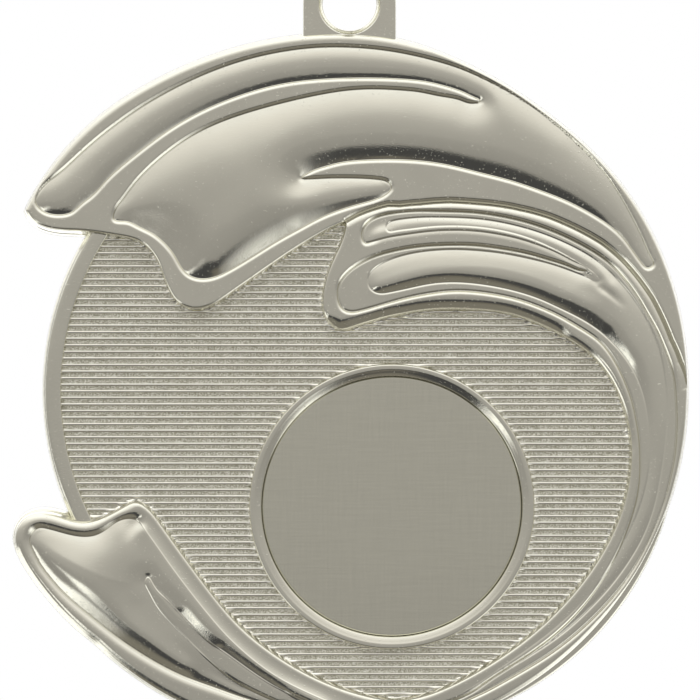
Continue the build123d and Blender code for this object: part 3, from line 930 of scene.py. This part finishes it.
# one rib and one valley, from the top down: (distance down, depth, share of roughness)
RIB = [
    (0.0, 2.09, 0.8), (0.05, 2.13, 0.3), (0.085, 2.22, 0.05), (0.12, RIB_TOP, 0.0), (0.29, RIB_TOP, 0.0),
    (0.33, 2.22, 0.05), (0.37, 2.1, 0.4), (0.45, 2.06, 1.0), (0.53, 2.05, 1.0), (0.6, 2.06, 1.0),
]
LOW_CENTRE, LOW_R = (4.0, -3.8), 29.0  # the field runs on under the waves at the bottom right
RIB_STEP = 0.28
rows = [(PITCH * (k + 0.25) - down, depth, share) for k in range(-50, 44) for down, depth, share in RIB]
z_rows, depth_rows, rough_rows = np.array(sorted(rows)).T
x_cols = np.arange(-28.2, 33.6, RIB_STEP)
gx, gz = np.meshgrid(x_cols, z_rows, indexing="ij")
at = np.stack([gx.ravel(), gz.ravel()], 1)


def far_from(middle):
    return np.hypot(*(at - middle).T)


from_bezel = far_from(RECESS) - RING_FOOT
in_field = ((far_from(RIM_AT) < RIM_IN + 0.35) | (far_from(LOW_CENTRE) < LOW_R)) & (from_bezel > -0.5)
from_wave = np.full(len(at), 99.0)
close = in_field.copy()
for line in lines.values():
    from_wave[close] = np.minimum(from_wave[close], -line.distance(at[close]))
in_field &= from_wave > -0.45
share = np.tile(rough_rows, len(x_cols))
noise = rng.normal(0, 1, gx.shape)
noise = (noise + 0.6 * np.roll(noise, 1, axis=1)).ravel()
depth = np.tile(depth_rows, len(x_cols)) + share * (0.026 * noise)
# a small fillet where the field meets the bezel and the waves
foot_gap = np.minimum(from_bezel, np.minimum(from_wave - 0.24, 9.0))
depth = depth + np.clip(1 - foot_gap / 0.3, 0, 1) ** 2 * (0.16 + 0.03 * noise)
use = in_field.reshape(gx.shape)
index = -np.ones(gx.shape, int)
index[use] = np.arange(use.sum())
verts = np.stack([at[:, 0] + 0.05 * share * rng.normal(0, 1, len(at)), depth, at[:, 1]], 1)[use.ravel()]
i, j = np.nonzero(use[:-1, :-1] & use[1:, :-1] & use[:-1, 1:] & use[1:, 1:])
quads = np.stack([index[i, j], index[i + 1, j], index[i + 1, j + 1], index[i, j + 1]], 1)
ribs = make_piece("ribbed_ground", verts, quads.tolist(), ribs_metal)
place(ribs, "medal", "ribbed_metal", "ribbed_field")

# ---------------------------------------------------------------- bezel and centre disc
bezel_profile = [(RECESS_R - 0.08, DISC_TOP - 0.5), (RECESS_R - 0.07, 2.2)]
bezel_profile += [(RECESS_R - 0.05, BEZEL_TOP - 0.3)]
bezel_profile += arc_profile((RECESS_R + 0.08, BEZEL_TOP - 0.29), 0.12, 165, 112, 4)
bezel_profile += [(RECESS_R + 0.34, BEZEL_TOP - 0.1), (RECESS_R + 0.56, BEZEL_TOP - 0.03)]
bezel_profile += [(RECESS_R + 0.62, BEZEL_TOP - 0.008), (RECESS_R + 0.68, BEZEL_TOP)]
bezel_profile += [(RING_FOOT - 0.3, BEZEL_TOP)]
bezel_profile += arc_profile((RING_FOOT - 0.25, BEZEL_TOP - 0.17), 0.17, 80, 12, 6)
bezel_profile += [(RING_FOOT - 0.02, 2.4), (RING_FOOT + 0.02, 2.2), (RING_FOOT + 0.1, 2.06)]
bezel_profile += [(RING_FOOT + 0.2, PLATE - 0.03)]
verts, faces = [], []
turned(verts, faces, RECESS, bezel_profile, int(2 * math.pi * bezel_profile[0][0] / 0.25))
place(make_piece("round_bezel", verts, faces, plated), "medal", "plated_metal", "bezel_ring")

DISC_EDGE = 0.14  # radius of the disc's front edge
DISC_SIDES = 320
disc_profile = [(DISC_R - 1.5, DISC_TOP), (DISC_R - 0.3, DISC_TOP)]
disc_profile += arc_profile((DISC_R - DISC_EDGE, DISC_TOP - DISC_EDGE), DISC_EDGE, 90, 15, 6)
disc_profile += [(DISC_R, DISC_TOP - DISC_EDGE), (DISC_R, DISC_BACK + 0.06), (DISC_R - 0.05, DISC_BACK)]
verts, faces = [], []
turned(verts, faces, RECESS, disc_profile, DISC_SIDES)
cap(verts, faces, [circle(RECESS, disc_profile[0][0], sides=DISC_SIDES)], DISC_TOP)
cap(verts, faces, [circle(RECESS, disc_profile[-1][0], sides=DISC_SIDES)], DISC_BACK, False)
place(make_piece("blank_disc", verts, faces, disc_metal), "medal", "brushed_disc", "centre_disc")

# ---------------------------------------------------------------- eyelet
EYE_R = half_width("eyelet")
EYE_X, EYE_Z = centre("eyelet")[0], high("eyelet")[2] - EYE_R
EYE = (EYE_X, EYE_Z)
EYE_FRONT, EYE_BACK = -low("eyelet")[1], -high("eyelet")[1]
EYE_EDGE = 0.3
HOLE_R = 2.7
HOLE_SIDES = 96
foot_z = low("eyelet")[2] - 0.6
arc = arc_profile(EYE, EYE_R, 0, 180, 61)
left_side = [(EYE_X - EYE_R, z) for z in np.arange(EYE_Z - 0.25, foot_z, -0.25)]
right_side = [(EYE_X + EYE_R, z) for z in np.arange(foot_z, EYE_Z - 0.1, 0.25)]
foot_side = [(x, foot_z) for x in np.arange(EYE_X - EYE_R, EYE_X + EYE_R, 0.25)]
eye_loop = np.array(arc + left_side + foot_side + right_side)
eye_out = normals(eye_loop, True, SMOOTHING)
rounding = [(EYE_EDGE * (math.sin(a) - 1), EYE_EDGE * (1 - math.cos(a))) for a in (0.0, 0.35, 0.7, 1.05, 1.4)]
eye_wall = [(offset, EYE_FRONT - fall) for offset, fall in rounding] + [(0.03, (EYE_FRONT + EYE_BACK) / 2)]
eye_wall += [(offset, EYE_BACK + rise) for offset, rise in reversed(rounding)]
FRONT_RIM, BACK_RIM = 0.5, 0.3  # how far the hole's rounded edges reach round it
hole_profile = [
    (HOLE_R + BACK_RIM, EYE_BACK), (HOLE_R + 0.1, EYE_BACK + 0.08), (HOLE_R, EYE_BACK + 0.3),
    (HOLE_R, EYE_FRONT - 0.7), (HOLE_R + 0.03, EYE_FRONT - 0.55), (HOLE_R + 0.1, EYE_FRONT - 0.42),
    (HOLE_R + 0.36, EYE_FRONT - 0.1), (HOLE_R + 0.44, EYE_FRONT - 0.02), (HOLE_R + FRONT_RIM, EYE_FRONT),
]
verts, faces = [], []
wall(verts, faces, eye_loop, eye_wall)
turned(verts, faces, EYE, hole_profile, HOLE_SIDES)
for rim, depth, front in ((FRONT_RIM, EYE_FRONT, True), (BACK_RIM, EYE_BACK, False)):
    around = eye_loop + eye_out * eye_wall[0][0]
    cap(verts, faces, [around, circle(EYE, HOLE_R + rim, sides=HOLE_SIDES)], depth, front, 0.5)
place(make_piece("hanging_eyelet", verts, faces, cast), "medal", "plated_metal", "eyelet")

# ---------------------------------------------------------------- jump ring
WIRE_R = half_width("jump_ring")
RING_AT = centre("jump_ring")
RING_R = high("jump_ring")[2] - RING_AT[2] - WIRE_R
ENDS = {0: 0.93, 1: 0.98, 2: 0.98}  # the wire's cut ends are slightly rounded
SECTIONS = 240
turn = np.radians(np.linspace(0.25, 357.25, SECTIONS))
verts = []
for k, a in enumerate(turn):
    wire = WIRE_R * ENDS.get(min(k, SECTIONS - 1 - k), 1.0)
    for b in np.linspace(0, 2 * math.pi, 28, endpoint=False):
        x, r = wire * math.sin(b), RING_R + wire * math.cos(b)
        verts.append((RING_AT[0] + x, -RING_AT[1] - r * math.cos(a), RING_AT[2] + r * math.sin(a)))
ids = np.arange(len(verts)).reshape(SECTIONS, -1).tolist()
faces = [tuple(reversed(ids[0])), tuple(ids[-1])]
for a, b in zip(ids, ids[1:]):
    faces += strip(a, b)
place(make_piece("wire_ring", verts, faces, ring_metal), "ring", "ring_wire", "jump_ring")

# ---------------------------------------------------------------- adhesive pad keeps its shape
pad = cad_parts["adhesive_pad"]
pad.data.materials.clear()
pad.data.materials.append(pad_film)

# ---------------------------------------------------------------- surroundings, floor, camera
scene = bpy.context.scene
scene.view_settings.view_transform = "Standard"
scene.view_settings.look = "None"
# brightness of the surroundings against the sine of the height above the horizon
SKY = [
    (-1.0, 0.3), (-0.5, 0.33), (-0.36, 0.345), (-0.29, 0.36), (-0.17, 0.39), (-0.095, 0.405), (-0.078, 0.445),
    (0.0, 0.455), (0.07, 0.475), (0.17, 0.515), (0.24, 0.56), (0.3, 0.62), (0.37, 0.74), (0.52, 0.96),
    (0.65, 1.12), (0.82, 1.38), (1.0, 1.42),
]
BRIGHT = 1.1  # from this level up the light is nearly neutral, and below it is warmer


def sky_colour(level):
    warm = 0.94 if level < BRIGHT else 0.99
    return level, level * (1 + warm) / 2, level * warm


def studio_light():
    """Soft surroundings: pale above, low at both sides and round the back, dark low in front."""
    world = bpy.data.worlds.new("studio")
    scene.world = world
    world.use_nodes = True
    world.node_tree.nodes.clear()
    graph = Graph(world.node_tree)

    def calc(kind, a, b=0.0):
        return graph.add("Math", {0: a, 1: b}, operation=kind)

    def step(value, a, b):
        """0 below a, 1 above b and smooth between."""
        return graph.spread(value, (0.0, 1.0), (a, b), "SMOOTHSTEP")

    def both(a, b):
        return calc("MULTIPLY", a, b)

    def either(a, b):
        return calc("MAXIMUM", a, b)

    def other(a):
        return calc("SUBTRACT", 1.0, a)

    x, y, z = graph.add("SeparateXYZ", {"Vector": graph.add("TexCoord", {}, "Generated")}).node.outputs
    up = graph.spread(z, (0.0, 1.0), (-1.0, 1.0))
    colour = graph.ramp(up, *(((sine + 1) / 2, sky_colour(level)) for sine, level in SKY))
    down = calc("MULTIPLY", z, -1.0)
    lateral = calc("DIVIDE", x, either(down, 0.05))
    left = step(calc("MULTIPLY", lateral, -1.0), 0.72, 0.9)
    right = step(lateral, 0.25, 0.8)
    near_middle = other(step(calc("ABSOLUTE", x), 0.9, 0.97))
    # a grey flag low on the left, seen only by someone who looks at the flat faces from the right
    flag = 0.0
    for axis, middle in ((x, -0.64), (y, -0.64), (z, -0.42)):
        flag = either(flag, calc("ABSOLUTE", calc("SUBTRACT", axis, middle)))
    low_side = either(both(left, step(down, 0.28, 0.33)), both(right, step(down, 0.33, 0.6)))
    low_side = both(both(low_side, step(flag, 0.14, 0.19)), near_middle)
    colour = graph.mix(low_side, colour, (1.4, 1.4, 1.38))
    inner = step(calc("ADD", lateral, both(down, 1.2)), 0.45, 0.75)
    dark = graph.mix(both(step(down, 0.5, 0.62), inner), (0.07, 0.07, 0.073), (0.2, 0.185, 0.16))
    dark = graph.mix(step(down, 0.62, 0.75), dark, (0.235, 0.22, 0.19))
    colour = graph.mix(both(step(down, 0.362, 0.374), other(either(left, right))), colour, dark)
    behind = both(both(step(y, -0.1, 0.3), other(step(y, 0.4, 0.6))), near_middle)
    ring = both(step(y, 0.79, 0.86), other(step(y, 0.955, 0.98)))
    colour = graph.mix(either(behind, ring), colour, (1.5, 1.5, 1.5))
    seen = graph.mix(graph.add("LightPath", {}, "Is Camera Ray"), colour, WHITE)
    out = world.node_tree.nodes.new("ShaderNodeOutputWorld")
    graph.put(out.inputs["Surface"], graph.add("Background", {"Color": seen}))


studio_light()

# a pale floor under the hanging medal
FLOOR_Z, FLOOR_SIDES = -62.0, 96
verts, faces = [], [tuple(range(FLOOR_SIDES))]
rings = [circle((0.0, 0.0), r, sides=FLOOR_SIDES).tolist() for r in (20.0, 60.0, 120.0, 190.0)]
skirt(verts, faces, [[(x, -y, FLOOR_Z) for x, y in ring] for ring in rings])
floor = make_piece("studio_floor", verts, faces, pale_floor)
floor.visible_glossy = False

CAMERA_X, CAMERA_Z = 1.2, 4.1
AWAY = 300.0  # from the camera to the lips of the waves
VIEW_WIDTH = 70.0
camera_data = bpy.data.cameras.new("camera")
camera_data.sensor_width = 36.0
camera_data.lens = camera_data.sensor_width * AWAY / VIEW_WIDTH
camera_data.clip_start = 0.01
camera = bpy.data.objects.new("camera", camera_data)
camera.location = (CAMERA_X * MM, -(AWAY + LIP) * MM, CAMERA_Z * MM)
camera.rotation_euler = (math.pi / 2, 0, 0)
scene.collection.objects.link(camera)
scene.camera = camera
